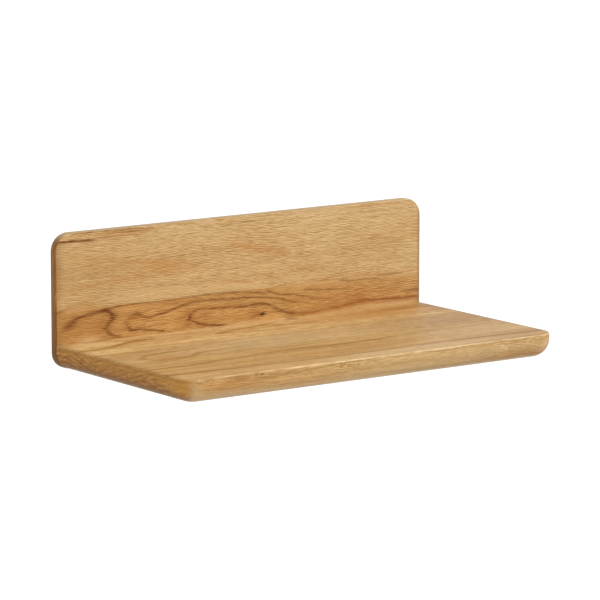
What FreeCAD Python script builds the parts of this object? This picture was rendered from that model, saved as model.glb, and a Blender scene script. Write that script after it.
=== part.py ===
import FreeCAD, Part
import os
import Sketcher

# Oak wall shelf: a glued-up back panel and a glued-up shelf board, butted together with dowels and screws,
# with two keyhole hangers let in flush behind. X runs along the shelf, +Y points at the wall and +Z is up.
# The wall lies at Y = 0, and the origin is midway between the two keyhole entries.

# Driving dimensions in millimetres: name, value, meaning
SIZES = (
    ("shelf_length", 440, "panel and board, end to end"),
    ("board_depth", 224, "shelf board, from the panel's face to its front edge"),
    ("board_thickness", 24, "shelf board"),
    ("panel_height", 132.5, "back panel"),
    ("panel_thickness", 10, "back panel"),
    ("front_corner_radius", 20, "board's front corners, seen from above"),
    ("under_edge_radius", 18, "rounding under the board's front and ends"),
    ("edge_land", 2, "least wall left beside the rounding under the board"),
    ("panel_top_radius", 18, "panel's upper corners"),
    ("panel_foot_radius", 16, "panel's lower corners"),
    ("arris_radius", 1.5, "eased edges of board and panel"),
    ("front_stave_width", 28.5, "board stave at the front edge"),
    ("second_stave_width", 70.5, "next board stave"),
    ("third_stave_width", 58, "next board stave, and the rear one is the rest"),
    ("lower_stave_height", 57, "panel stave at the foot"),
    ("top_strip_height", 8.5, "panel strip at the top, and the middle stave is the rest"),
    ("fixing_inset", 40, "from a board end to the nearest joint screw"),
    ("dowel_diameter", 8, "joint dowels"),
    ("dowel_length", 30, "joint dowels"),
    ("dowel_chamfer", 1, "joint dowels"),
    ("dowel_cover", 4, "panel wood left behind a dowel hole"),
    ("dowel_fit", 0.05, "gap all round a dowel"),
    ("dowel_end_gap", 0.5, "gap at each end of a dowel"),
    ("joint_screw_diameter", 4, "screws that join panel and board"),
    ("joint_screw_head", 8, "their countersunk heads"),
    ("joint_screw_length", 42, "head to tip"),
    ("joint_screw_tip", 5, "length of the point"),
    ("joint_screw_sink", 0.5, "heads below the wall face"),
    ("joint_screw_recess", 4.4, "span of the cross recess"),
    ("hanger_screw_diameter", 3, "screws that hold the keyhole plates"),
    ("hanger_screw_head", 5.6, "their countersunk heads"),
    ("hanger_screw_length", 7.2, "head to tip"),
    ("hanger_screw_tip", 2, "length of the point"),
    ("hanger_screw_sink", 0.2, "heads below the wall face"),
    ("hanger_screw_recess", 3.2, "span of the cross recess"),
    ("hanger_screw_inset", 5, "from a plate's end to the middle of its screw"),
    ("recess_width", 1.1, "bars of the cross recesses"),
    ("recess_depth", 0.9, "cross recesses"),
    ("screw_fit", 0.1, "gap all round a screw"),
    ("screw_end_gap", 0.5, "hole beyond a screw's tip"),
    ("plate_width", 18, "keyhole plates"),
    ("plate_height", 44, "keyhole plates"),
    ("plate_thickness", 2, "keyhole plates"),
    ("plate_radius", 4, "corners of the keyhole plates"),
    ("plate_fit", 0.1, "gap round a keyhole plate"),
    ("plate_inset", 60, "from a panel end to the middle of a plate"),
    ("plate_drop", 15.5, "from the panel's top to a plate's top"),
    ("entry_diameter", 10, "hole that a wall screw's head goes in through"),
    ("entry_offset", 4, "entry below the middle of its plate"),
    ("slot_width", 5, "slot for a wall screw's shank"),
    ("slot_rise", 10, "from the entry up to the end of the slot"),
    ("head_pocket_width", 13, "room for a wall screw's head behind a plate"),
    ("head_pocket_depth", 5, "room for a wall screw's head behind a plate"),
    ("cut_over", 1, "cutting tools run this far past the faces they cut"),
)

# Places that several pieces share, as formulas of the sheet
FOOT = "(Sizes.plate_drop + Sizes.plate_height / 2 + Sizes.entry_offset - Sizes.panel_height)"
HALF_LENGTH = "(Sizes.shelf_length / 2)"
BOARD_FRONT = "(-Sizes.panel_thickness - Sizes.board_depth)"
FIXING_HEIGHT = f"({FOOT} + Sizes.board_thickness / 2)"
PLATE_FOOT = "(Sizes.entry_offset - Sizes.plate_height / 2)"
PLATE_PLACES = {
    "left": "(Sizes.plate_inset - Sizes.shelf_length / 2)",
    "right": "(Sizes.shelf_length / 2 - Sizes.plate_inset)",
}
HANGER_SCREW_PLACES = {
    "upper": "(Sizes.entry_offset + Sizes.plate_height / 2 - Sizes.hanger_screw_inset)",
    "lower": "(Sizes.entry_offset - Sizes.plate_height / 2 + Sizes.hanger_screw_inset)",
}

# Screws and dowels take turns along the joint, a screw at each end
JOINT_FIXINGS = (
    "joint_screw_far_left",
    "joint_dowel_left",
    "joint_screw_left",
    "joint_dowel_middle",
    "joint_screw_right",
    "joint_dowel_right",
    "joint_screw_far_right",
)

# A turned piece is made along +Z and laid over so that it points from the wall into the wood
INTO_WOOD = FreeCAD.Rotation(FreeCAD.Vector(1, 0, 0), 90)

# An edge whose middle point is this near a face lies in it
NEAR = 1e-6

doc = FreeCAD.newDocument("WallShelf")
sheet = doc.addObject("Spreadsheet::Sheet", "Sizes")
for row, (size_name, value, meaning) in enumerate(SIZES, start=1):
    sheet.set(f"A{row}", size_name)
    sheet.set(f"B{row}", str(value))
    sheet.setAlias(f"B{row}", size_name)
    sheet.set(f"C{row}", meaning)
doc.recompute()


def bind(thing, formulas):
    """Ties an object's properties to formulas of the sheet."""
    for name, formula in formulas.items():
        thing.setExpression(name, formula)


def place(thing, x, y, z, rotation=None):
    """Puts an object at a place given by formulas, turned if a rotation is given."""
    if rotation is not None:
        thing.Placement = FreeCAD.Placement(FreeCAD.Vector(), rotation)
    bind(thing, {"Placement.Base.x": x, "Placement.Base.y": y, "Placement.Base.z": z})


def box(name, size, corner):
    """A box from formulas for its three sizes and its lowest corner."""
    piece = doc.addObject("Part::Box", name)
    bind(piece, dict(zip(("Length", "Width", "Height"), size)))
    place(piece, *corner)
    return piece


def fuse(name, pieces):
    """One solid from several pieces."""
    joined = doc.addObject("Part::MultiFuse", name)
    joined.Shapes = pieces
    return joined


def cut(name, base, tools):
    """A piece with a list of tools taken out of it."""
    result = doc.addObject("Part::Cut", name)
    result.Base = base
    result.Tool = tools[0] if len(tools) == 1 else fuse(name + "_tools", tools)
    return result


def turned(name, stages):
    """A piece turned about +Z, from stages of start radius, end radius and length, end to end."""
    pieces = []
    start = "0"
    for number, (first, last, length) in enumerate(stages, start=1):
        if first == last:
            piece = doc.addObject("Part::Cylinder", f"{name}_stage_{number}")
            bind(piece, {"Radius": first, "Height": length})
        else:
            piece = doc.addObject("Part::Cone", f"{name}_stage_{number}")
            bind(piece, {"Radius1": first, "Radius2": last, "Height": length})
        place(piece, "0", "0", start)
        pieces.append(piece)
        start = f"{start} + {length}"
    return pieces[0] if len(pieces) == 1 else fuse(name, pieces)


def edge_names(feature, wanted):
    """The names of those edges of a feature whose middle point and direction are wanted."""
    names = []
    for number, edge in enumerate(feature.Shape.Edges, start=1):
        middle = (edge.FirstParameter + edge.LastParameter) / 2
        if wanted(edge.valueAt(middle), edge.tangentAt(middle)):
            names.append(f"Edge{number}")
    return names


def upright(along):
    """Whether a direction is more upright than level."""
    return abs(along.z) > abs(along.x) + abs(along.y)


def across(along):
    """Whether a direction runs to or from the wall."""
    return abs(along.y) > abs(along.x) + abs(along.z)


def round_edges(body, name, radius, wanted):
    """Rounds the wanted edges of a body's last feature."""
    doc.recompute()
    base = body.Tip
    rounding = body.newObject("PartDesign::Fillet", name)
    rounding.Base = (base, edge_names(base, wanted))
    bind(rounding, {"Radius": radius})
    doc.recompute()


def slab(name, plane_role, width, height, thickness):
    """A body with a padded rectangle, centred on its sketch's first axis and standing on it."""
    body = doc.addObject("PartDesign::Body", name)
    plane = next(feature for feature in body.Origin.OriginFeatures if feature.Role == plane_role)
    sketch = body.newObject("Sketcher::SketchObject", name + "_outline")
    sketch.AttachmentSupport = [(plane, "")]
    sketch.MapMode = "FlatFace"
    corners = [FreeCAD.Vector(x, y) for x, y in ((-1, 0), (1, 0), (1, 1), (-1, 1))]
    for number, corner in enumerate(corners):
        sketch.addGeometry(Part.LineSegment(corner, corners[(number + 1) % 4]))
    for number in range(4):
        sketch.addConstraint(Sketcher.Constraint("Coincident", number, 2, (number + 1) % 4, 1))
    for number, direction in ((1, "Vertical"), (2, "Horizontal"), (3, "Vertical")):
        sketch.addConstraint(Sketcher.Constraint(direction, number))
    sketch.addConstraint(Sketcher.Constraint("PointOnObject", 0, 1, -1))
    sketch.addConstraint(Sketcher.Constraint("Symmetric", 0, 1, 0, 2, -2))
    drawn = corners[2] - corners[0]
    width_rule = sketch.addConstraint(Sketcher.Constraint("DistanceX", 0, 1, 0, 2, drawn.x))
    sketch.renameConstraint(width_rule, "Width")
    height_rule = sketch.addConstraint(Sketcher.Constraint("DistanceY", 1, 1, 1, 2, drawn.y))
    sketch.renameConstraint(height_rule, "Height")
    bind(sketch, {"Constraints.Width": width, "Constraints.Height": height})
    pad = body.newObject("PartDesign::Pad", name + "_pad")
    pad.Profile = sketch
    bind(pad, {"Length": thickness})
    doc.recompute()
    return body


def shelf_board():
    """The whole shelf board, underside down, rounded in plan, under its front and ends, and on top."""
    body = slab("shelf_board", "XY_Plane", "Sizes.shelf_length", "Sizes.board_depth", "Sizes.board_thickness")
    rear = sheet.board_depth - NEAR
    top = sheet.board_thickness - NEAR
    limits = "Sizes.board_thickness - Sizes.arris_radius - Sizes.edge_land; "
    limits += "Sizes.front_corner_radius - Sizes.edge_land"
    round_edges(body, "front_corners", "Sizes.front_corner_radius",
                lambda middle, along: upright(along) and middle.y < NEAR)
    round_edges(body, "under_edges", f"min(Sizes.under_edge_radius; {limits})",
                lambda middle, along: middle.z < NEAR and middle.y < rear)
    round_edges(body, "top_arris", "Sizes.arris_radius",
                lambda middle, along: middle.z > top and middle.y < rear)
    place(body, "0", BOARD_FRONT, FOOT)
    return body


def back_panel():
    """The whole back panel, standing with its rear face against the wall."""
    body = slab("back_panel", "XZ_Plane", "Sizes.shelf_length", "Sizes.panel_height", "Sizes.panel_thickness")
    top = sheet.panel_height - NEAR
    front = NEAR - sheet.panel_thickness
    round_edges(body, "top_corners", "Sizes.panel_top_radius",
                lambda middle, along: across(along) and middle.z > top)
    round_edges(body, "foot_corners", "Sizes.panel_foot_radius",
                lambda middle, along: across(along) and middle.z < NEAR)
    round_edges(body, "panel_arrises", "Sizes.arris_radius",
                lambda middle, along: middle.y < front or middle.y > -NEAR)
    place(body, "0", "0", FOOT)
    return body


def plate_blank(name, side, fit):
    """A plain keyhole plate, or with a fit the recess that takes it."""
    body = slab(name, "XZ_Plane", f"Sizes.plate_width + 2 * {fit}", f"Sizes.plate_height + 2 * {fit}",
                "Sizes.plate_thickness")
    round_edges(body, name + "_corners", f"Sizes.plate_radius + {fit}",
                lambda middle, along: across(along))
    place(body, PLATE_PLACES[side], "0", f"{PLATE_FOOT} - {fit}")
    return body


def keyhole_tool(name, side, entry, slot, depth, over):
    """A keyhole with its slot rising from the entry, from just outside the wall face to a depth."""
    length = f"{depth} + {over}"
    entry_tool = turned(name + "_entry", ((entry, entry, length),))
    end_tool = turned(name + "_end", ((slot, slot, length),))
    slot_tool = box(name + "_slot", (f"2 * {slot}", "Sizes.slot_rise", length), (f"-({slot})", "0", "0"))
    place(end_tool, "0", "Sizes.slot_rise", "0")
    tool = fuse(name, [entry_tool, slot_tool, end_tool])
    place(tool, PLATE_PLACES[side], over, "0", INTO_WOOD)
    return tool


def screw(label, kind, x, z):
    """A countersunk wood screw with a cross recess, pointing from the wall into the wood."""
    head = f"Sizes.{kind}_head / 2"
    shank = f"Sizes.{kind}_diameter / 2"
    tip = f"Sizes.{kind}_tip"
    span = f"Sizes.{kind}_recess"
    shaft = f"(Sizes.{kind}_length - ({head} - {shank}) - {tip})"
    blank = turned(label + "_blank", ((head, shank, f"({head} - {shank})"), (shank, shank, shaft),
                                      (shank, "0", tip)))
    half_span = f"-{span} / 2"
    half_width = "-Sizes.recess_width / 2"
    bars = [
        box(label + "_bar_x", (span, "Sizes.recess_width", "Sizes.recess_depth"), (half_span, half_width, "0")),
        box(label + "_bar_y", ("Sizes.recess_width", span, "Sizes.recess_depth"), (half_width, half_span, "0")),
    ]
    piece = cut(label, blank, bars)
    place(piece, x, f"-Sizes.{kind}_sink", z, INTO_WOOD)
    return piece


def screw_hole(name, kind, x, z):
    """The countersunk hole for a screw, from just outside the wall face to past the screw's tip."""
    head = f"(Sizes.{kind}_head / 2 + Sizes.screw_fit)"
    shank = f"(Sizes.{kind}_diameter / 2 + Sizes.screw_fit)"
    mouth = f"(Sizes.cut_over + Sizes.{kind}_sink)"
    shaft = f"(Sizes.{kind}_length - ({head} - {shank}) + Sizes.screw_end_gap)"
    tool = turned(name, ((head, head, mouth), (head, shank, f"({head} - {shank})"), (shank, shank, shaft)))
    place(tool, x, "Sizes.cut_over", z, INTO_WOOD)
    return tool


def dowel(label, x, z):
    """A chamfered dowel, half in the panel's blind hole and half in the board."""
    full = "Sizes.dowel_diameter / 2"
    end = f"({full} - Sizes.dowel_chamfer)"
    shaft = "(Sizes.dowel_length - 2 * Sizes.dowel_chamfer)"
    piece = turned(label, ((end, full, "Sizes.dowel_chamfer"), (full, full, shaft),
                           (full, end, "Sizes.dowel_chamfer")))
    place(piece, x, "-Sizes.dowel_cover - Sizes.dowel_end_gap", z, INTO_WOOD)
    return piece


def dowel_hole(name, x, z):
    """The hole for a dowel, through both boards."""
    radius = "Sizes.dowel_diameter / 2 + Sizes.dowel_fit"
    tool = turned(name, ((radius, radius, "Sizes.dowel_length + 2 * Sizes.dowel_end_gap"),))
    place(tool, x, "-Sizes.dowel_cover", z, INTO_WOOD)
    return tool


def keyhole_plate(side):
    """A keyhole hanger with its two screws, and the tools that make room for them in the panel."""
    name = f"keyhole_plate_{side}"
    pieces = []
    holes = []
    for level, z in HANGER_SCREW_PLACES.items():
        label = f"hanger_screw_{side}_{level}"
        pieces.append(screw(label, "hanger_screw", PLATE_PLACES[side], z))
        holes.append(screw_hole(label + "_hole", "hanger_screw", PLATE_PLACES[side], z))
    keyhole = keyhole_tool(name + "_keyhole", side, "Sizes.entry_diameter / 2", "Sizes.slot_width / 2",
                           "Sizes.plate_thickness + Sizes.cut_over", "Sizes.cut_over")
    pocket_radius = "Sizes.head_pocket_width / 2"
    pocket = keyhole_tool(name + "_head_pocket", side, pocket_radius, pocket_radius,
                          "Sizes.plate_thickness + Sizes.head_pocket_depth", "Sizes.cut_over")
    recess = plate_blank(name + "_recess", side, "Sizes.plate_fit")
    pieces.append(cut(name, plate_blank(name + "_blank", side, "0"), [keyhole] + holes))
    return pieces, [recess, pocket] + holes


def staves(board, axis, rows):
    """A board's staves between its glue lines, from rows of label, start and width along one axis."""
    low = [f"-{HALF_LENGTH} - Sizes.cut_over", f"{BOARD_FRONT} - Sizes.cut_over", f"{FOOT} - Sizes.cut_over"]
    size = ["Sizes.shelf_length + 2 * Sizes.cut_over",
            "Sizes.board_depth + Sizes.panel_thickness + 2 * Sizes.cut_over",
            "Sizes.panel_height + 2 * Sizes.cut_over"]
    pieces = []
    for label, start, width in rows:
        low[axis] = start
        size[axis] = width
        stave = doc.addObject("Part::Common", label)
        stave.Base = board
        stave.Tool = box(label + "_span", size, low)
        pieces.append(stave)
    return pieces


# Joint fixings, evenly spaced along the joint
subparts = []
joint_tools = []
pitch = f"((Sizes.shelf_length - 2 * Sizes.fixing_inset) / {len(JOINT_FIXINGS) - 1})"
for number, label in enumerate(JOINT_FIXINGS):
    fixing_x = f"{number} * {pitch} + Sizes.fixing_inset - {HALF_LENGTH}"
    if "dowel" in label:
        subparts.append(dowel(label, fixing_x, FIXING_HEIGHT))
        joint_tools.append(dowel_hole(label + "_hole", fixing_x, FIXING_HEIGHT))
    else:
        subparts.append(screw(label, "joint_screw", fixing_x, FIXING_HEIGHT))
        joint_tools.append(screw_hole(label + "_hole", "joint_screw", fixing_x, FIXING_HEIGHT))

# Keyhole hangers
panel_tools = list(joint_tools)
for side in PLATE_PLACES:
    hanger_pieces, hanger_tools = keyhole_plate(side)
    subparts += hanger_pieces
    panel_tools += hanger_tools

# Shelf board, cut at its glue lines from the front edge back
front_line = f"({BOARD_FRONT} + Sizes.front_stave_width)"
second_line = f"({front_line} + Sizes.second_stave_width)"
third_line = f"({second_line} + Sizes.third_stave_width)"
drilled_board = cut("drilled_board", shelf_board(), joint_tools)
subparts += staves(drilled_board, 1, (
    ("shelf_front_stave", BOARD_FRONT, "Sizes.front_stave_width"),
    ("shelf_second_stave", front_line, "Sizes.second_stave_width"),
    ("shelf_third_stave", second_line, "Sizes.third_stave_width"),
    ("shelf_rear_stave", third_line, f"-Sizes.panel_thickness - {third_line}"),
))

# Back panel, cut at its glue lines from the foot up
lower_line = f"({FOOT} + Sizes.lower_stave_height)"
top_line = f"({FOOT} + Sizes.panel_height - Sizes.top_strip_height)"
cut_panel = cut("cut_panel", back_panel(), panel_tools)
subparts += staves(cut_panel, 2, (
    ("panel_lower_stave", FOOT, "Sizes.lower_stave_height"),
    ("panel_middle_stave", lower_line, f"{top_line} - {lower_line}"),
    ("panel_top_strip", top_line, "Sizes.top_strip_height"),
))

doc.recompute()
for thing in doc.Objects:
    if "Invalid" in thing.State or "Error" in thing.State:
        raise RuntimeError(f"{thing.Label} failed: {thing.State}")
for subpart in subparts:
    if subpart.Shape.isNull() or not subpart.Shape.isValid() or len(subpart.Shape.Solids) != 1:
        raise RuntimeError(f"{subpart.Label} is not one sound solid")
if cut_panel.Shape.Volume >= cut_panel.Base.Shape.Volume:
    raise RuntimeError("the panel's pockets cut nothing")
if drilled_board.Shape.Volume >= drilled_board.Base.Shape.Volume:
    raise RuntimeError("the board's holes cut nothing")

os.makedirs("parts", exist_ok=True)
for subpart in subparts:
    subpart.Shape.exportStep(f"parts/{subpart.Label}.step")
    print(f"{subpart.Label}: {subpart.Shape.Volume:.1f} mm3")
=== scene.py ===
"""Looks of the oak wall shelf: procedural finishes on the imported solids, in a plain white studio."""

import math
from dataclasses import dataclass

import bpy
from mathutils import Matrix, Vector


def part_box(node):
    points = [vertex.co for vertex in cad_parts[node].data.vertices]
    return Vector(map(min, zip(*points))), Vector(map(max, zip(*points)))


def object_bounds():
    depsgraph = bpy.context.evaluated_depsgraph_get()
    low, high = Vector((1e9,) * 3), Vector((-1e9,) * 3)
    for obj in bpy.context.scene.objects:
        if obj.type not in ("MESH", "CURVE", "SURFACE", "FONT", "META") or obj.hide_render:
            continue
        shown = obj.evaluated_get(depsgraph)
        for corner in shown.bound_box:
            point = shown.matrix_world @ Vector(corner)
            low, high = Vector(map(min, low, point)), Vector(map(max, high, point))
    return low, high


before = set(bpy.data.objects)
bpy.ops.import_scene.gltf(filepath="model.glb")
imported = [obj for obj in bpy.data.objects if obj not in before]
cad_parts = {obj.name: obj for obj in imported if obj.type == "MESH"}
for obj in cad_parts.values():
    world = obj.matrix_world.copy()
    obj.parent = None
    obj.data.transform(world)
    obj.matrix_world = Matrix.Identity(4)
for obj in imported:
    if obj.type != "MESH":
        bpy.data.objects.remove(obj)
cad_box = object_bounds()

# Places on the wood are in millimetres, as in the part's own drawing
MM_PER_METRE = 1000
LEFT_END = cad_box[0].x * MM_PER_METRE
RIGHT_END = cad_box[1].x * MM_PER_METRE
FRONT_EDGE = cad_box[0].y * MM_PER_METRE
FOOT = cad_box[0].z * MM_PER_METRE
PANEL_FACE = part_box("panel_middle_stave")[0].y * MM_PER_METRE
BOARD_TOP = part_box("shelf_rear_stave")[1].z * MM_PER_METRE
BOARD_MIDDLE = (BOARD_TOP + FOOT) / 2

# Camera at the photograph's viewing angle
TARGET = Vector((-0.0001, -0.1063, -0.0303))
AZIMUTH = math.radians(-35.52)
ELEVATION = math.radians(9.59)
DISTANCE = 3.8366
LENS = 235.97
SENSOR = 36

# Studio: a white floor well below the shelf, an even white surround and one soft lamp
WHITE = (1, 1, 1, 1)
FLOOR_DROP = 2.0
FLOOR_SIZE = 160
FLOOR_COLOUR = (0.9, 0.9, 0.9, 1)
FLOOR_GLOW = 0.2
SKY_LIGHT = 0.53
LAMP_FROM = Vector((0.4, -0.5, 0.75))
LAMP_STRENGTH = 2.1
LAMP_ANGLE = math.radians(50)

# A drawn grain line has a dark core and a wider, weaker stain beside it
CORE = 0.82
STAIN = 0.18
STAIN_WIDTH = 2.6


@dataclass
class Grain:
    """A noise: its features' sizes in millimetres in three directions, its detail and its strength."""

    sizes: tuple
    detail: float
    strength: float = 1
    roughness: float = 0.5


@dataclass
class Fade:
    """A smooth step from 0 at one value to its strength at another, which may be the lower one."""

    start: float
    full: float
    strength: float = 1


class Number:
    """A number that varies over a surface. Arithmetic on it adds nodes to its material."""

    def __init__(self, paint, socket):
        self.paint = paint
        self.socket = socket

    def __add__(self, other):
        return self.paint.math("ADD", self, other)

    def __sub__(self, other):
        return self.paint.math("SUBTRACT", self, other)

    def __rsub__(self, other):
        return self.paint.math("SUBTRACT", other, self)

    def __mul__(self, other):
        return self.paint.math("MULTIPLY", self, other)

    def __truediv__(self, other):
        return self.paint.math("DIVIDE", self, other)

    def __neg__(self):
        return self.paint.math("MULTIPLY", self, -1)

    def __abs__(self):
        return self.paint.math("ABSOLUTE", self)

    __radd__ = __add__


class Paint:
    """The nodes of one material or world, written as formulas of the place on the surface."""

    def __init__(self, owner):
        owner.use_nodes = True
        self.owner = owner
        self.tree = owner.node_tree
        self.tree.nodes.clear()

    def feed(self, socket, value):
        """Links a value to a socket, or sets the socket where the value is constant."""
        if isinstance(value, Number):
            value = value.socket
        if isinstance(value, bpy.types.NodeSocket):
            self.tree.links.new(value, socket)
        else:
            socket.default_value = value

    def add(self, kind, inputs, **settings):
        """Adds one node with its settings and inputs."""
        node = self.tree.nodes.new(kind)
        for name, value in settings.items():
            setattr(node, name, value)
        for name, value in inputs.items():
            self.feed(node.inputs[name], value)
        return node

    def math(self, operation, *values):
        node = self.add("ShaderNodeMath", dict(enumerate(values)), operation=operation)
        return Number(self, node.outputs[0])

    def parts(self, vector):
        """The three numbers of a vector."""
        node = self.add("ShaderNodeSeparateXYZ", {0: vector})
        return [Number(self, socket) for socket in node.outputs]

    def vector(self, x, y, z):
        return self.add("ShaderNodeCombineXYZ", {0: x, 1: y, 2: z}).outputs[0]

    def place(self):
        """The place on the surface in millimetres, and the surface's direction."""
        source = self.add("ShaderNodeTexCoord", {})
        inputs = {0: source.outputs["Object"], "Scale": MM_PER_METRE}
        scaled = self.add("ShaderNodeVectorMath", inputs, operation="SCALE")
        return self.parts(scaled.outputs[0]), self.parts(source.outputs["Normal"])

    def looked_at(self):
        """1 for rays from the camera or off a shiny surface, 0 for the light that falls on things."""
        ray = self.add("ShaderNodeLightPath", {})
        return self.math("MAXIMUM", ray.outputs["Is Camera Ray"], ray.outputs["Is Glossy Ray"])

    def noise(self, grain, *places):
        """Smooth noise about 0, read at three places."""
        scaled = [place / size for place, size in zip(places, grain.sizes)]
        inputs = {"Vector": self.vector(*scaled), "Scale": 1.0, "Detail": grain.detail,
                  "Roughness": grain.roughness}
        node = self.add("ShaderNodeTexNoise", inputs)
        return (Number(self, node.outputs[0]) - 0.5) * grain.strength

    def fade(self, value, fade):
        """How far a value has gone through a fade."""
        inputs = {"Value": value, "From Min": fade.start, "From Max": fade.full, "To Max": fade.strength}
        node = self.add("ShaderNodeMapRange", inputs, interpolation_type="SMOOTHSTEP")
        return Number(self, node.outputs[0])

    def bell(self, *ratios):
        """1 where all ratios are 0, falling off smoothly to 0 within about two units."""
        total = ratios[0] * ratios[0]
        for ratio in ratios[1:]:
            total = total + ratio * ratio
        return self.math("EXPONENT", -total)

    def mix(self, share, first, second):
        """A colour between two colours."""
        inputs = {"Factor": share, 6: first, 7: second}
        return self.add("ShaderNodeMix", inputs, data_type="RGBA").outputs[2]

    def curves(self, value, rows):
        """Up to three smooth curves: rows hold a value and what each curve gives there."""
        starts, *columns = zip(*rows)
        first = starts[0]
        length = starts[-1] - first
        places = [(start - first) / length for start in starts]
        share = (value - first) / length
        node = self.add("ShaderNodeRGBCurve", {"Color": self.vector(share, share, share)})
        node.mapping.extend = "HORIZONTAL"
        read = []
        for curve, column, number in zip(node.mapping.curves, columns, self.parts(node.outputs[0])):
            low = min(column)
            span = max(column) - low or 1
            points = [(place, (entry - low) / span) for place, entry in zip(places, column)]
            curve.points[0].location = points[0]
            curve.points[1].location = points[-1]
            for point in points[1:-1]:
                curve.points.new(*point)
            read.append(number * span + low)
        node.mapping.update()
        return read

    def finish(self, colour, roughness, height, depth, **constants):
        """The surface shader, with a bump of a real depth in metres."""
        bump = self.add("ShaderNodeBump", {"Height": height, "Distance": depth})
        inputs = {"Base Color": colour, "Roughness": roughness, "Normal": bump.outputs[0], **constants}
        shader = self.add("ShaderNodeBsdfPrincipled", inputs)
        self.add("ShaderNodeOutputMaterial", {"Surface": shader.outputs[0]})
        return self.owner


def srgb(red, green, blue):
    """A colour given as it shows on a screen, 0 to 255."""
    shown = (channel / 255 for channel in (red, green, blue))
    return (*(((c + 0.055) / 1.055) ** 2.4 for c in shown), 1)


@dataclass
class Line:
    """A grain line: rows of place along, place across, half width and strength."""

    colour: tuple
    rows: tuple

    def share(self, paint, x, across, depth):
        return self.strength(paint, x, across)

    def strength(self, paint, along, across):
        centre, width, strength = paint.curves(along, self.rows)
        gap = (across - centre) / width
        return (paint.bell(gap) * CORE + paint.bell(gap / STAIN_WIDTH) * STAIN) * strength


class SteepLine(Line):
    """A grain line whose rows go across the stave and give its place along it."""

    def share(self, paint, x, across, depth):
        return self.strength(paint, across, x)


class EdgeLine(Line):
    """A grain line on a stave's edge, with rows along it that give its place in the thickness."""

    def share(self, paint, x, across, depth):
        return self.strength(paint, x, depth)


@dataclass
class Spot:
    """A soft stain with its centre, half length, half width and strength."""

    colour: tuple
    x: float
    across: float
    half_length: float
    half_width: float
    strength: float

    def share(self, paint, x, across, depth):
        off_x = (x - self.x) / self.half_length
        off_across = (across - self.across) / self.half_width
        return paint.bell(off_x, off_across) * self.strength


class EdgeSpot(Spot):
    """A soft stain on a stave's edge, where its place across is the place in the thickness."""

    def share(self, paint, x, across, depth):
        return super().share(paint, x, depth, across)


class EdgePores(EdgeSpot):
    """A cluster of short pores on a stave's edge, a little aslant."""

    def share(self, paint, x, across, depth):
        dashes = paint.noise(DASHES, x, depth - x * DASH_SLANT, 0)
        return super().share(paint, x, across, depth) * paint.fade(dashes, DASH_SHARE)


@dataclass
class Oak:
    """How one stave looks: two tones, its pith, its marks, and how strong each kind of grain is."""

    seed: float
    upright: bool
    pale: tuple
    deep: tuple
    pith: tuple
    marks: tuple
    line: float = 0.2
    streak: float = 1.2
    band: float = 1.2
    fleck: float = 0
    rings: float = 0.2
    end_tone: float = 0.5


# Colours of the oak
PALE = srgb(231, 198, 143)
DEEP = srgb(179, 138, 83)
HEART_PALE = srgb(222, 174, 106)
HEART_DEEP = srgb(175, 124, 66)
FRONT_PALE = srgb(216, 177, 118)
FRONT_DEEP = srgb(177, 134, 77)
SECOND_PALE = srgb(202, 162, 102)
SECOND_DEEP = srgb(166, 124, 67)
THIRD_PALE = srgb(213, 175, 120)
THIRD_DEEP = srgb(175, 136, 83)
REAR_PALE = srgb(224, 189, 130)
REAR_DEEP = srgb(180, 138, 83)
BROWN = srgb(140, 92, 40)
UMBER = srgb(112, 58, 16)
VEIN = srgb(142, 88, 8)
RUST = srgb(164, 96, 40)
ORANGE = srgb(194, 134, 64)
CREAM = srgb(230, 200, 152)
# Painted sheen: a pale grey that stands in for the white surround reflected on the board
PAINTED_SHEEN = srgb(202, 176, 136)
KNOT = srgb(50, 16, 2)
PORE = srgb(136, 90, 44)
END_PALE = srgb(200, 144, 68)
END_DEEP = srgb(136, 86, 28)
# A grey-brown: dust on the panel's top edge, and painted shade on the right rims, right ends and under-edges
DUST_AND_SHADE = srgb(140, 119, 94)
SHADE = srgb(90, 65, 36)
# Wear and a painted highlight along the board's front arris
WORN_AND_HIGHLIGHT = srgb(238, 207, 162)

# Colours of the fixings
ZINC = (0.62, 0.63, 0.64, 1)
ZINC_DARK = (0.5, 0.51, 0.53, 1)
YELLOW_ZINC = (0.72, 0.6, 0.34, 1)
YELLOW_ZINC_DARK = (0.6, 0.5, 0.32, 1)
BEECH_PALE = srgb(226, 188, 148)
BEECH_DEEP = srgb(205, 160, 118)
BEECH_FLECK = srgb(166, 116, 76)

# The oak's grain: sizes along the stave, across its layers or its face, and through its thickness
SWAY = Grain((150, 35, 35), 1, 9)
RIPPLE = Grain((26, 8, 16), 1, 1.1)
CLOUDS = Grain((90, 18, 30), 2, 0.7)
BANDS = Grain((120, 6, 20), 3, roughness=0.6)
FLECKS = Grain((9, 7, 7), 2)
WANDER = Grain((17, 2, 12), 1, 8)
STREAKS = Grain((13, 1.05, 8), 2, roughness=0.6)
HAIRS = Grain((6, 0.6, 3), 1, 0.75)
PORES = Grain((8, 0.8, 4), 1)
RAGGED_ALONG = Grain((40, 1.1, 5), 1, 14)
RAGGED_ACROSS = Grain((5, 2, 5), 2, 1.8)
RUBS_AND_HIGHLIGHTS = Grain((18, 20, 20), 2, 1.8)

# Pores on an edge: sizes along it and through its thickness, with no third place, and their slant
DASHES = Grain((5, 0.9, 1), 1)
DASH_SLANT = 0.09

# The sawn ends' grain: sizes across the stave and through it, then along it or between two seeds
RING_WAVES = Grain((14, 14, 1), 2, 1.2)
END_CLOUDS = Grain((12, 2.6, 1), 3, 1.5)
SPECKS = Grain((1.6, 1.3, 1), 1)
MOTTLE = Grain((2.5, 1.6, 2.5), 2, 0.5)

# The fixings' grain, along X, Y and Z
SPANGLE = Grain((1.5, 1.5, 1.5), 2)
DRAWN = Grain((0.4, 0.4, 6), 2)
BEECH_FLECKS = Grain((0.3, 2.5, 0.3), 1)
BEECH_TONES = Grain((1.2, 9, 1.2), 2)
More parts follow.
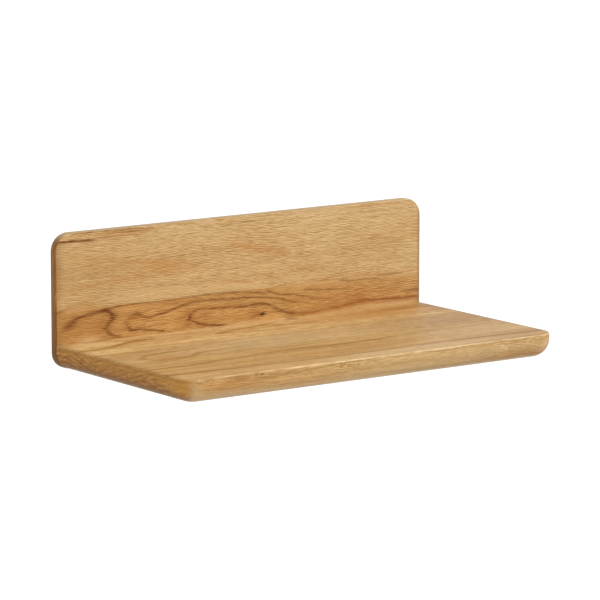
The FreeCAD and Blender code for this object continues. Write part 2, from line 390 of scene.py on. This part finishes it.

# Fades by the place on the wood
# Painted shade on the right rim and on the right ends
RIGHT_RIM = Fade(RIGHT_END - 6, RIGHT_END, 0.8)
LEFT_RIM = Fade(LEFT_END + 10, LEFT_END, 0.35)
RIGHT_ENDS = Fade(RIGHT_END - 70, RIGHT_END - 5, 0.5)
LEFT_ARRIS = Fade(LEFT_END + 130, LEFT_END + 60, 0.55)
FRONT_OF_END = Fade(FRONT_EDGE + 54, FRONT_EDGE + 6, 0.3)
FOOT_OF_END = Fade(FOOT + 13, FOOT, 0.65)
FOOT_OF_PANEL = Fade(FOOT + 39, FOOT + 9, 0.5)
WALL_SIDE = Fade(PANEL_FACE + 1, PANEL_FACE + 9, 0.5)

# Fades by the surface's direction
PANEL_END = Fade(0.25, 0.75)
BOARD_END = Fade(0.4, 0.95)
ARRIS = Fade(0.1, 0.45)
TOP_EDGE = Fade(0.4, 0.9, 0.45)
# Painted shade on the rounded under-edge, less on the flat underside
UNDER_EDGE = Fade(-0.55, -0.96, 0.4)
FLAT_UNDERSIDE = Fade(-0.96, -1, 0.3)

# Fades by a tone or a noise
TONE = Fade(0, 1)
LATE_WOOD = Fade(0.05, 0.45)
PORE_SHARE = Fade(0.1, 0.22)
SPECK_SHARE = Fade(0.05, 0.2, 0.35)
DASH_SHARE = Fade(0, 0.12)
FLECK_SHARE = Fade(0.08, 0.2)
MILD_TONE = Fade(-0.2, 0.2)

# How far the noise moves from stave to stave, the layers' slant, and radians of pore lines in a millimetre
STAVE_SHIFT = 1000
LAYER_SLANT = 0.7
LINE_RATE = 4.5

# The oak's tone before its grain, and how strong its marks, pores and worn, highlighted places are
MIDDLE_TONE = 0.5
MARK_SHARE = 0.9
MARK_BREAKS = 1.5
PORE_STAIN = 0.35
RUBBED_HIGHLIGHT_SHARE = 0.5

# How strong the drawn lines on the steel and the flecks in the beech are
DRAWN_SHARE = 0.5
FLECK_STAIN = 0.5

# The sawn ends: rings, clouds, painted shade per millimetre, the upper rounding's lean, and an arris shadow
RING_WIDTH = 5
HALF_RING = 0.5
CLOUD_SLANT = 0.25
CLOUD_SEED_GAP = 5
END_SHADE_PER_MM = 0.042
END_LEAN = 0.25
SHADOW_PLACE = BOARD_TOP - 2.6
SHADOW_WIDTH = 0.8
SHADOW_SHARE = 0.3

# Each finish: its roughness, what adds to it, the oak's gloss, and the relief, whose depth is in metres
OAK_ROUGHNESS = 0.5
PORE_ROUGHNESS = 0.15
STREAK_ROUGHNESS = 0.08
END_ROUGHNESS = 0.12
OAK_IOR = 1.3
HAIR_RELIEF = 0.8
OAK_RELIEF = 0.00006
ZINC_ROUGHNESS = 0.36
SPANGLE_ROUGHNESS = 0.2
ZINC_RELIEF = 0.00002
BEECH_ROUGHNESS = 0.55
BEECH_TONE_ROUGHNESS = 0.1
BEECH_RELIEF = 0.00005

# Places of the pith, across the stave and in its thickness, about which the end grain's rings run
PANEL_PITH = (0, 400)
FRONT_PITH = (-274, -374)
SECOND_PITH = (-224, -374)
THIRD_PITH = (-159, -374)
REAR_PITH = (-20, -169)

# Grain lines at a glue line, drawn on both staves. A line that ends on the stave ends at strength 0
STRIP_JOINT = Line(UMBER, (
    (-222, 33.6, 0.9, 1.2), (-200, 33.2, 1, 1.3), (-180, 32.9, 0.9, 1.2), (-170, 32.8, 0.6, 0.3),
    (-100, 33, 0.5, 0.15), (222, 33, 0.5, 0.15)))
CREST = Line(UMBER, (
    (-216, -52, 2.2, 0), (-210, -50.5, 2.8, 0.6), (-204, -47.5, 2.9, 0.85), (-197, -43.3, 2.3, 0.9),
    (-189, -41, 1.9, 0.9), (-178, -39.3, 1.9, 0.85), (-166, -37.4, 2.1, 0.9), (-158, -36.4, 1.7, 0.8),
    (-141, -34.6, 1, 0.65), (-112, -34.7, 0.8, 0.6), (-87, -34.9, 0.8, 0.6), (-58, -34, 0.8, 0.6),
    (-24, -34.1, 0.8, 0.6), (2, -36, 0.9, 0.6), (22, -38.5, 0.9, 0.5), (30, -39.5, 0.8, 0)))
CORNER = Line(UMBER, ((-222, -36, 1.1, 0.9), (-214, -34, 1, 0.7), (-206, -32.8, 0.8, 0)))
RIGHT_JOINT = Line(BROWN, (
    (162, -34.3, 0.6, 0), (170, -34.3, 0.7, 0.8), (189, -34.5, 0.7, 0.8), (200, -34.6, 0.6, 0)))
FRONT_JOINT = Line(VEIN, (
    (-222, -201, 2.2, 1), (-180, -203.5, 2.1, 1), (-123, -207, 2, 0.9), (0, -210, 2.1, 1.1),
    (90, -207.5, 2.1, 1.1), (150, -209, 2.5, 1.3), (190, -211, 2.5, 1.3), (222, -212.5, 2, 0.9)))

TOP_STRIP = Oak(seed=1, upright=True, pale=PALE, deep=DEEP, pith=PANEL_PITH, marks=(
    STRIP_JOINT,
    Spot(ORANGE, -165, 37, 45, 3, 0.3),
    Line(BROWN, (
        (-204, 40.6, 0.5, 0), (-187, 40.3, 0.6, 0.8), (-142, 40, 0.6, 0.9), (-116, 39, 0.7, 0.7),
        (-106, 38.2, 0.7, 0))),
    Line(BROWN, ((-165, 37, 0.5, 0), (-142, 37.4, 0.6, 0.8), (-122, 36.8, 0.6, 0.7), (-108, 35.8, 0.6, 0))),
    Line(RUST, ((-174, 34.6, 0.6, 0), (-150, 34.3, 0.7, 0.7), (-132, 33.8, 0.8, 0.7), (-118, 33, 0.7, 0))),
    Line(CREAM, ((-98, 39.5, 0.9, 0), (-84, 38, 1.1, 0.7), (-66, 35, 1.1, 0.7), (-50, 33, 1, 0))),
    Line(CREAM, ((-104, 35, 0.8, 0), (-90, 34.4, 1, 0.6), (-74, 33, 1, 0))),
    Spot(ORANGE, -27, 39.8, 6, 1.2, 0.7),
    Line(BROWN, ((-24, 33.4, 0.5, 0), (-14, 33.9, 0.6, 0.5), (4, 34.9, 0.6, 0.5), (14, 35.2, 0.5, 0))),
    Spot(CREAM, 110, 37, 70, 3, 0.5),
    Spot(CREAM, -48, 38, 10, 2.6, 0.5),
    Line(ORANGE, ((110, 37.6, 1, 0), (150, 38.4, 0.9, 0.5), (195, 38.8, 0.9, 0))),
), line=0.6, streak=2.0, end_tone=0.55)

MIDDLE = Oak(seed=2, upright=True, pale=PALE, deep=DEEP, pith=PANEL_PITH, marks=(
    Line(PALE, (
        (-160, -28, 3, 0), (-140, -27.5, 4, 0.45), (-60, -27, 4, 0.5), (0, -28, 4, 0.5),
        (30, -30, 3, 0))),
    STRIP_JOINT, CREST, CORNER, RIGHT_JOINT,
    Line(ORANGE, (
        (-215, 20, 4, 0), (-197, 16, 4, 0.35), (-140, 8, 5, 0.4), (-83, -1, 5, 0.45),
        (-50, -6, 5, 0))),
    Line(ORANGE, ((-222, -13, 4, 0.4), (-165, -11, 4, 0.35), (-111, -6, 4, 0.4), (-80, -2, 4, 0))),
    Line(ORANGE, ((115, -4, 4, 0), (143, 1, 4, 0.15), (180, 10, 4, 0.3), (222, 18, 4, 0.3))),
    Line(ORANGE, ((165, -6, 3, 0), (185, -1, 3, 0.35), (222, 6, 3, 0.4))),
    Line(ORANGE, (
        (-18, 14, 3, 0), (-5, 12, 4, 0.45), (20, 6.5, 4.5, 0.45), (40, 2.5, 4, 0.55),
        (56, 1, 3, 0))),
    Line(ORANGE, ((30, -37, 4, 0), (70, -37, 5, 0.45), (150, -37, 6, 0.5), (222, -37, 6, 0.5))),
    Line(ORANGE, ((-40, -22.5, 1.2, 0), (-20, -22.6, 1.4, 0.5), (0, -25, 1.4, 0.55), (12, -26.5, 1.2, 0))),
    Line(ORANGE, ((14, -18, 1, 0), (24, -20, 1.2, 0.5), (36, -23.5, 1.2, 0.5), (48, -27, 1, 0))),
    Spot(ORANGE, -186, -27, 7, 4, 0.4),
    Spot(ORANGE, -178, 5, 12, 6, 0.35),
    Spot(ORANGE, -196, -37, 30, 7, 0.55),
    Spot(ORANGE, 80, -18, 16, 5, 0.35),
    Spot(PALE, 68, -27, 26, 4.5, 0.55),
    Spot(PALE, 66, 22, 22, 7, 0.35),
    Spot(PALE, -60, -9, 12, 5, 0.3),
    Spot(CREAM, 92, 30, 14, 4, 0.4),
    Spot(PALE, 132, 4, 10, 5, 0.3),
    Spot(BROWN, -177, 15, 9, 4, 0.2),
    Spot(BROWN, -218, 5, 8, 26, 0.2),
    Spot(CREAM, -217, -27, 5, 5, 0.6),
    Spot(DEEP, -222, 0, 90, 60, 0.4),
), line=0.7, streak=1.9, end_tone=0.65)

HEART = Oak(seed=3, upright=True, pale=HEART_PALE, deep=HEART_DEEP, pith=PANEL_PITH, marks=(
    Spot(HEART_DEEP, -188, -52, 34, 10, 0.65),
    Spot(PALE, -182, -65.5, 16, 3.6, 0.6),
    Spot(PALE, 175, -66, 60, 3.4, 0.6),
    Spot(PALE, 5, -67, 40, 2.8, 0.45),
    Spot(HEART_PALE, -128, -39.5, 24, 3, 0.6),
    Spot(HEART_PALE, 30, -45, 22, 4, 0.5),
    Spot(PALE, -195, -32, 30, 5, 0.3),
    Line(PALE, ((30, -32, 3, 0), (60, -32, 4, 0.5), (150, -32, 5, 0.65), (222, -32, 4, 0.7))),
    CREST, CORNER, RIGHT_JOINT,
    Spot(RUST, -206, -49, 11, 5, 0.5),
    Spot(UMBER, -205, -49, 8, 3.5, 0.6),
    Spot(RUST, -164, -54, 9, 8, 0.5),
    Spot(RUST, -130, -47.5, 8, 3.5, 0.7),
    Spot(RUST, -139, -54, 3, 6, 0.6),
    Spot(RUST, -68, -53, 9, 9, 0.45),
    Spot(RUST, -50, -55, 11, 5, 0.55),
    Spot(RUST, 113, -53, 12, 5, 0.3),
    Spot(RUST, -74, -64, 10, 3, 0.4),
    Spot(BROWN, -218, -60, 8, 9, 0.3),
    Spot(BROWN, -202, -38, 8, 4, 0.25),
    Spot(BROWN, -206, -67, 9, 4, 0.3),
    Spot(RUST, -160, -66, 10, 3, 0.4),
    Spot(RUST, -143, -58, 6, 4, 0.4),
    Spot(RUST, 141, -53, 14, 8, 0.5),
    SteepLine(UMBER, (
        (-36, -168, 3, 0), (-38.5, -161, 4, 0.9), (-41.5, -157, 3.2, 0.95), (-45, -154.6, 3, 0.95),
        (-48.5, -157, 3, 0.85), (-52.5, -161.5, 3.2, 0.7), (-56, -163, 3, 0.55), (-59.5, -161, 3, 0.9),
        (-62.5, -156, 4.5, 0.85), (-66, -148, 6, 0.65))),
    Line(UMBER, (
        (-138, -51, 1.6, 0), (-136, -47.3, 1.7, 0.4), (-133.5, -45.2, 1.5, 0.45), (-129.5, -44.4, 1.6, 0.55),
        (-125, -45.4, 1.5, 0.7), (-119, -48.4, 1.3, 0.65), (-113, -49.8, 1.3, 0.75), (-105, -48.7, 1.2, 0.8),
        (-86, -44.6, 1.1, 0.8), (-68, -40.9, 1.1, 0.8), (-57, -39.5, 1.1, 0.8), (-43, -39.5, 1, 0.8),
        (-10, -41.2, 1, 0.8), (5, -41.4, 1, 0.8), (25, -43.4, 1, 0.8), (45, -46.7, 1, 0.75),
        (56, -50, 1, 0.6), (70, -53.5, 0.9, 0))),
    Line(UMBER, (
        (-141, -51, 1.6, 0), (-139, -56, 1.8, 0.6), (-134.5, -60.3, 1.5, 0.8), (-126, -60.5, 1.4, 0.8),
        (-119, -61.6, 1.3, 0.95), (-103, -63.5, 1.1, 0.95), (-92, -66, 1.1, 0.7), (-86, -68, 1, 0))),
    Line(UMBER, (
        (-68, -55.5, 2.6, 0), (-65, -53.3, 2.2, 0.8), (-62, -50.5, 1.3, 0.75), (-58, -48.6, 1, 0.7),
        (-50, -47.5, 1, 0.7), (-37, -48.6, 1, 0.75), (-18, -49, 1.1, 0.85), (-1, -49.9, 1.2, 0.9),
        (14, -49, 1.2, 0.9), (29, -50.8, 1.2, 0.9), (34, -53, 1.2, 0.8), (37, -56, 1.2, 0.4),
        (39, -58.5, 1.2, 0))),
    Line(UMBER, (
        (36, -53.6, 1.2, 0), (40, -56, 1.5, 0.85), (47, -59.6, 1.5, 0.95), (54, -61.7, 1.4, 0.95),
        (62, -63.2, 1.2, 0.85), (84, -64.6, 1.2, 0))),
    Line(UMBER, (
        (-68, -54, 2.4, 0), (-64.5, -56, 1.9, 0.8), (-61, -58.6, 1.3, 0.8), (-55, -61.5, 1.1, 0.85),
        (-45, -63.9, 1.1, 0.9), (-26, -66.5, 1.1, 0.7), (-16, -68, 1, 0))),
    Line(UMBER, (
        (25, -35, 0.8, 0), (29, -36.8, 0.9, 0.65), (37, -40.4, 0.9, 0.7), (47, -42.4, 0.9, 0.7),
        (63, -44.2, 0.9, 0.75), (80, -48.4, 0.9, 0.7), (92, -50.5, 0.9, 0.5), (110, -52, 0.9, 0))),
    Line(BROWN, (
        (73, -40, 0.9, 0), (80, -40.8, 0.9, 0.7), (104, -42.8, 0.9, 0.7), (123, -44.2, 0.9, 0.5),
        (136, -44.5, 0.9, 0))),
    Line(BROWN, (
        (110, -33.4, 0.9, 0), (117, -34.1, 0.9, 0.6), (131, -36.5, 1, 0.7), (157, -36.7, 1, 0.6),
        (167, -38.4, 0.9, 0.5), (180, -39.6, 0.9, 0))),
    Line(RUST, (
        (50, -64, 1.6, 0), (70, -64.3, 1.8, 0.7), (100, -63.3, 2, 0.75), (130, -60.5, 2.2, 0.75),
        (149, -58.3, 1.8, 0.8), (166, -59.4, 1.7, 0.8), (192, -60, 1.8, 0.85), (222, -61, 1.8, 0.9))),
    Line(UMBER, (
        (140, -58.2, 0.7, 0), (155, -58.7, 0.7, 0.3), (192, -60.4, 0.7, 0.4), (222, -61.4, 0.8, 0.6))),
    Line(UMBER, ((192, -53, 1, 0), (206, -53.6, 1.3, 0.5), (222, -54.2, 1.7, 0.8))),
    Spot(UMBER, -65.5, -54.4, 2.8, 2.4, 0.5),
    Spot(RUST, 15, -59.5, 11, 4.5, 0.5),
    Spot(UMBER, 18, -60.2, 5, 1.6, 0.5),
    Spot(KNOT, 22.6, -59.8, 3.2, 1.9, 1.15),
), line=0.55, streak=2.6, end_tone=0.9)

FRONT = Oak(seed=4, upright=False, pale=FRONT_PALE, deep=FRONT_DEEP, pith=FRONT_PITH, marks=(
    FRONT_JOINT,
    # painted sheen on the front of the top
    Spot(PAINTED_SHEEN, 45, -220, 90, 14, 0.45),
    Spot(BROWN, 190, -218, 90, 14, 0.2),
    Line(BROWN, ((110, -230, 1.6, 0), (150, -230, 1.8, 0.4), (222, -229, 2.6, 0.6))),
    Spot(BROWN, -162, -223, 16, 8, 0.3),
    EdgeSpot(ORANGE, -200, -77, 120, 9, 0.55),
    EdgeSpot(BROWN, -190, -80, 70, 9, 0.12),
    EdgeSpot(BROWN, -160, -72, 14, 2.4, 0.5),
    EdgeSpot(BROWN, -130, -73, 14, 3, 0.4),
    EdgeSpot(BROWN, -96, -72, 34, 2.6, 0.5),
    # painted sheen on the front face, and a painted floor reflection low on it
    EdgeSpot(PAINTED_SHEEN, 150, -76, 90, 6, 0.25),
    EdgeSpot(PAINTED_SHEEN, -175, -86, 60, 5, 0.35),
    EdgeLine(BROWN, ((-30, -84, 2, 0), (10, -84.5, 2, 0.35), (80, -85.5, 2, 0.3), (222, -86, 2.4, 0.35))),
    EdgeSpot(ORANGE, 172, -83, 30, 5, 0.25),
    EdgeLine(BROWN, (
        (-205, -78, 0.6, 0.3), (-150, -80.5, 0.6, 0.3), (-95, -83, 0.6, 0.3), (-60, -84, 0.6, 0))),
    EdgePores(BROWN, -192, -71, 9, 2.5, 0.9),
    EdgePores(BROWN, -142, -70, 13, 2.5, 0.9),
    EdgePores(BROWN, -90, -71.5, 10, 2.5, 0.8),
    EdgePores(BROWN, -36, -72, 24, 3.5, 0.8),
    EdgeSpot(UMBER, -136, -69.6, 2.4, 0.8, 0.8),
    EdgePores(CREAM, 152, -74, 12, 5, 0.9),
    EdgePores(CREAM, 186, -72, 16, 4, 0.7),
    EdgeSpot(BROWN, -165, -68.5, 36, 0.9, 0.55),
    # painted highlight on the arris near the left corner
    EdgeSpot(CREAM, -206, -68.4, 12, 0.9, 0.35),
    EdgeSpot(CREAM, -209, -80, 9, 9, 0.35),
    EdgeSpot(CREAM, 209, -80, 10, 8, 0.35),
), line=0.45, streak=1.8, band=1.8)

SECOND = Oak(seed=5, upright=False, pale=SECOND_PALE, deep=SECOND_DEEP, pith=SECOND_PITH, marks=(
    # painted sheen on the right of the top
    Spot(PAINTED_SHEEN, 185, -178, 100, 34, 0.3),
    FRONT_JOINT,
    Line(VEIN, (
        (-222, -167, 2, 0.9), (-177, -168.5, 2.2, 0.95), (-150, -167, 2.2, 0.9), (-117, -164, 1.9, 0.6),
        (-57, -156.5, 2, 0.9), (-30, -157, 2.3, 1), (-9, -159, 2.3, 1), (37, -160, 2, 0.9),
        (70, -155.5, 1.9, 0.8), (94, -153, 1.8, 0.55), (150, -152, 1.8, 0.3), (222, -150, 1.8, 0.3))),
    Spot(ORANGE, -30, -184, 160, 16, 0.3),
), band=1.8, fleck=0.8)

THIRD = Oak(seed=6, upright=False, pale=THIRD_PALE, deep=THIRD_DEEP, pith=THIRD_PITH, marks=(
    # painted sheen in the middle and on the right of the top
    Spot(PAINTED_SHEEN, -40, -104, 90, 30, 0.35),
    Spot(PAINTED_SHEEN, 90, -112, 60, 14, 0.2),
    Spot(BROWN, -215, -106, 110, 60, 0.3),
    Spot(BROWN, 200, -110, 110, 60, 0.48),
    Spot(ORANGE, -190, -84, 14, 9, 0.45),
    Spot(ORANGE, -172, -122, 14, 14, 0.45),
    Spot(CREAM, -45, -90, 20, 3, 0.4),
    Line(VEIN, (
        (-196, -118, 2.8, 0), (-188, -112, 2.8, 0.65), (-178, -104, 2.5, 0.8), (-160, -101, 2.2, 0.8),
        (-134, -100, 1.9, 0.65), (-112, -99, 1.8, 0))),
    Line(VEIN, (
        (-196, -112, 2.8, 0), (-188, -120, 2.8, 0.6), (-178, -132, 2.8, 0.5), (-149, -130, 2.8, 0.6),
        (-126, -120, 2.4, 0.7), (-91, -116, 1.9, 0.55), (-60, -113, 1.8, 0))),
), band=1.8, fleck=1.2)

REAR = Oak(seed=7, upright=False, pale=REAR_PALE, deep=REAR_DEEP, pith=REAR_PITH, marks=(
    Spot(ORANGE, 150, -36, 80, 22, 0.7),
    Spot(BROWN, 140, -40, 70, 24, 0.22),
    Spot(BROWN, 185, -30, 30, 9, 0.5),
    Spot(BROWN, 214, -34, 14, 36, 0.6),
    Spot(BROWN, 195, -60, 34, 12, 0.24),
    # painted shade along the joint with the panel, near its left end
    Spot(BROWN, -178, -12, 24, 4, 0.5),
    Spot(BROWN, -214, -18, 10, 10, 0.55),
    Spot(BROWN, 50, -43, 20, 8, 0.3),
    Line(VEIN, (
        (-222, -50, 2.1, 0.9), (-183, -46.5, 2.1, 0.9), (-168, -40, 2.4, 1.1), (-154, -34, 2.4, 1.1),
        (-140, -31.5, 2.2, 1.1), (-118, -31, 1.9, 0))),
    Line(VEIN, ((-164, -21, 1.6, 0), (-142, -27, 1.7, 0.7), (-128, -30, 1.6, 0.7), (-116, -31, 1.5, 0))),
    Line(VEIN, (
        (-58, -45, 2, 0), (-48, -41, 2, 0.8), (-25, -36, 1.7, 0.7), (-6, -33, 1.6, 0.7),
        (20, -24, 1.6, 0.6), (44, -13, 1.6, 0))),
    Line(VEIN, (
        (-60, -43, 2, 0), (-46, -45, 2.1, 0.8), (-34, -47, 1.8, 0.7), (-9, -54, 1.7, 0.65),
        (14, -58, 1.7, 0))),
    Spot(BROWN, 56, -17, 8, 5, 0.9),
    Spot(BROWN, 21, -38, 7, 4, 0.75),
), band=1.8, fleck=1.0, rings=0.28)

OAKS = {
    "panel_top_strip": TOP_STRIP,
    "panel_middle_stave": MIDDLE,
    "panel_lower_stave": HEART,
    "shelf_front_stave": FRONT,
    "shelf_second_stave": SECOND,
    "shelf_third_stave": THIRD,
    "shelf_rear_stave": REAR,
}


def end_grain(paint, look, across, depth):
    """The colour of a sawn end: growth rings about the pith, and pores cut across."""
    pith_across, pith_depth = look.pith
    off_across = across - pith_across
    off_depth = depth - pith_depth
    radius = paint.math("SQRT", off_across * off_across + off_depth * off_depth)
    ring = radius / RING_WIDTH + paint.noise(RING_WAVES, across, depth, look.seed)
    late = paint.fade(paint.math("PINGPONG", ring, HALF_RING), LATE_WOOD)
    clouds = paint.noise(END_CLOUDS, across, depth + across * CLOUD_SLANT, look.seed + CLOUD_SEED_GAP)
    tone = late * look.rings + clouds + look.end_tone
    if not look.upright:
        # The board's ends darken downwards with painted shade, and are paler towards the front
        tone = tone + (BOARD_MIDDLE - depth) * END_SHADE_PER_MM - paint.fade(across, FRONT_OF_END)
    colour = paint.mix(paint.fade(tone, TONE), END_PALE, END_DEEP)
    specks = paint.noise(SPECKS, across, depth, look.seed)
    colour = paint.mix(paint.fade(specks, SPECK_SHARE), colour, UMBER)
    if look.upright:
        # The panel's ends are greyer towards the wall, and darker towards the foot with painted shade
        colour = paint.mix(paint.fade(depth, WALL_SIDE), colour, DUST_AND_SHADE)
        return paint.mix(paint.fade(across, FOOT_OF_PANEL), colour, SHADE)
    # The board's ends get a painted shadow just under the arris, and painted shade towards their lower edge
    shadow = paint.bell((depth - SHADOW_PLACE) / SHADOW_WIDTH)
    colour = paint.mix(shadow * SHADOW_SHARE, colour, UMBER)
    return paint.mix(paint.fade(depth, FOOT_OF_END), colour, SHADE)


def wear_and_painted_light(paint, look, colour, x, stave, facing):
    """Dust on the panel's top edge, a worn arris with a painted highlight on the board's front, and painted
    shade on the under-edge.
    """
    _, facing_y, facing_z = facing
    if look.upright:
        colour = paint.mix(paint.fade(facing_z, TOP_EDGE), colour, DUST_AND_SHADE)
    else:
        # The arris is worn paler in places and carries a painted highlight, least at its left end
        rubbed_highlight = RUBBED_HIGHLIGHT_SHARE + paint.noise(RUBS_AND_HIGHLIGHTS, *stave) - paint.fade(x, LEFT_ARRIS)
        arris = paint.fade(abs(facing_y) * facing_z, ARRIS)
        colour = paint.mix(arris * rubbed_highlight, colour, WORN_AND_HIGHLIGHT)
    # The rounded under-edge gets painted shade, and the flat underside a little
    painted_under_shade = paint.fade(facing_z, UNDER_EDGE) - paint.fade(facing_z, FLAT_UNDERSIDE)
    return paint.mix(painted_under_shade, colour, DUST_AND_SHADE)


def oak(name, look):
    """Oak with its pores along X, drawn grain lines, stains and end grain."""
    paint = Paint(bpy.data.materials.new(name))
    (x, y, z), facing = paint.place()
    facing_x, _, facing_z = facing
    across, depth, slant = (z, y, LAYER_SLANT) if look.upright else (y, z, -LAYER_SLANT)
    own_x = x + look.seed * STAVE_SHIFT
    stave = (own_x, across, depth)
    # Growth layers lie a little aslant in the stave, and sway about its length
    layer = across + depth * slant + paint.noise(SWAY, *stave) + paint.noise(RIPPLE, *stave)
    fibres = (own_x, layer, depth)
    streaks = paint.noise(STREAKS, *fibres)
    hairs = paint.noise(HAIRS, *fibres)
    pores = paint.fade(paint.noise(PORES, *fibres), PORE_SHARE)
    # Tones: broad clouds, long bands, wide flecks, short pore lines, streaks and fine hairs
    clouds = paint.noise(CLOUDS, *fibres)
    bands = paint.noise(BANDS, *fibres) * look.band
    flecks = paint.noise(FLECKS, *stave) * look.fleck
    lines = paint.math("SINE", layer * LINE_RATE + paint.noise(WANDER, *fibres)) * look.line
    tone = MIDDLE_TONE + clouds + bands + flecks + lines + streaks * look.streak + hairs
    wood = paint.mix(paint.fade(tone, TONE), look.pale, look.deep)
    # Drawn lines and stains, ragged along the fibres and broken by the streaks
    ragged_x = x + paint.noise(RAGGED_ALONG, *stave)
    ragged_across = across + paint.noise(RAGGED_ACROSS, *stave)
    broken = MARK_SHARE + streaks * MARK_BREAKS
    for mark in look.marks:
        share = mark.share(paint, ragged_x, ragged_across, depth)
        wood = paint.mix(share * broken, wood, mark.colour)
    wood = paint.mix(pores * PORE_STAIN, wood, PORE)
    # The stave has painted shade near its right end, and is browner near its left end
    wood = paint.mix(paint.fade(x, RIGHT_RIM), wood, DUST_AND_SHADE)
    wood = paint.mix(paint.fade(x, LEFT_RIM), wood, BROWN)
    # Sawn ends, of which the right ones are greyed with painted shade
    mottle = paint.noise(MOTTLE, across, depth, own_x)
    towards_end = abs(facing_x) - facing_z * END_LEAN + mottle
    end_share = paint.fade(towards_end, PANEL_END if look.upright else BOARD_END)
    end = paint.mix(paint.fade(x, RIGHT_ENDS), end_grain(paint, look, across, depth), DUST_AND_SHADE)
    colour = wear_and_painted_light(paint, look, paint.mix(end_share, wood, end), x, stave, facing)
    roughness = OAK_ROUGHNESS + pores * PORE_ROUGHNESS + streaks * STREAK_ROUGHNESS
    roughness = roughness + end_share * END_ROUGHNESS
    return paint.finish(colour, roughness, hairs * HAIR_RELIEF - pores, OAK_RELIEF, IOR=OAK_IOR)


def steel(name, pale, dark):
    """Zinc-plated steel with a faint spangle."""
    paint = Paint(bpy.data.materials.new(name))
    place, _ = paint.place()
    spangle = paint.noise(SPANGLE, *place)
    drawn = paint.noise(DRAWN, *place)
    tone = paint.fade(spangle + drawn * DRAWN_SHARE, MILD_TONE)
    roughness = ZINC_ROUGHNESS + spangle * SPANGLE_ROUGHNESS
    return paint.finish(paint.mix(tone, pale, dark), roughness, drawn, ZINC_RELIEF, Metallic=1.0)


def beech(name):
    """Plain beech with short flecks along Y, the dowels' length."""
    paint = Paint(bpy.data.materials.new(name))
    place, _ = paint.place()
    flecks = paint.fade(paint.noise(BEECH_FLECKS, *place), FLECK_SHARE)
    tone = paint.noise(BEECH_TONES, *place)
    wood = paint.mix(paint.fade(tone, MILD_TONE), BEECH_PALE, BEECH_DEEP)
    wood = paint.mix(flecks * FLECK_STAIN, wood, BEECH_FLECK)
    return paint.finish(wood, BEECH_ROUGHNESS + tone * BEECH_TONE_ROUGHNESS, -flecks, BEECH_RELIEF)


def dress():
    """Gives every solid its finish."""
    finishes = {name: oak(name + "_oak", look) for name, look in OAKS.items()}
    plate = steel("plate_zinc", ZINC, ZINC_DARK)
    screws = steel("screw_zinc", YELLOW_ZINC, YELLOW_ZINC_DARK)
    dowels = beech("dowel_beech")
    for name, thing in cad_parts.items():
        if name in finishes:
            finish = finishes[name]
        elif "plate" in name:
            finish = plate
        elif "screw" in name:
            finish = screws
        else:
            finish = dowels
        for slot in thing.material_slots:
            slot.material = finish


def studio():
    """A white floor well below the shelf, a white surround and one soft lamp."""
    bpy.ops.mesh.primitive_plane_add(size=FLOOR_SIZE, location=(0, 0, cad_box[0].z - FLOOR_DROP))
    floor = bpy.context.object
    floor.name = "studio_floor"
    paint = Paint(bpy.data.materials.new("studio_floor_white"))
    matt = paint.add("ShaderNodeBsdfDiffuse", {"Color": FLOOR_COLOUR})
    glow = paint.add("ShaderNodeEmission", {"Color": WHITE, "Strength": paint.looked_at() * FLOOR_GLOW})
    both = paint.add("ShaderNodeAddShader", {0: matt.outputs[0], 1: glow.outputs[0]})
    paint.add("ShaderNodeOutputMaterial", {"Surface": both.outputs[0]})
    floor.data.materials.append(paint.owner)

    paint = Paint(bpy.data.worlds.new("studio"))
    strength = SKY_LIGHT + paint.looked_at() * (1 - SKY_LIGHT)
    sky = paint.add("ShaderNodeBackground", {"Color": WHITE, "Strength": strength})
    paint.add("ShaderNodeOutputWorld", {"Surface": sky.outputs[0]})
    bpy.context.scene.world = paint.owner

    light = bpy.data.lights.new("soft_lamp", "SUN")
    light.energy = LAMP_STRENGTH
    light.angle = LAMP_ANGLE
    lamp = bpy.data.objects.new("soft_lamp", light)
    lamp.rotation_euler = LAMP_FROM.to_track_quat("Z", "Y").to_euler()
    bpy.context.scene.collection.objects.link(lamp)


def camera():
    """The photograph's view."""
    data = bpy.data.cameras.new("photo_camera")
    data.lens = LENS
    data.sensor_width = SENSOR
    thing = bpy.data.objects.new("photo_camera", data)
    level = DISTANCE * math.cos(ELEVATION)
    height = DISTANCE * math.sin(ELEVATION)
    thing.location = TARGET + Vector((level * math.sin(AZIMUTH), -level * math.cos(AZIMUTH), height))
    thing.rotation_euler = (math.pi / 2 - ELEVATION, 0, AZIMUTH)
    bpy.context.scene.collection.objects.link(thing)
    bpy.context.scene.camera = thing


dress()
studio()
camera()
bpy.context.scene.view_settings.view_transform = "Standard"
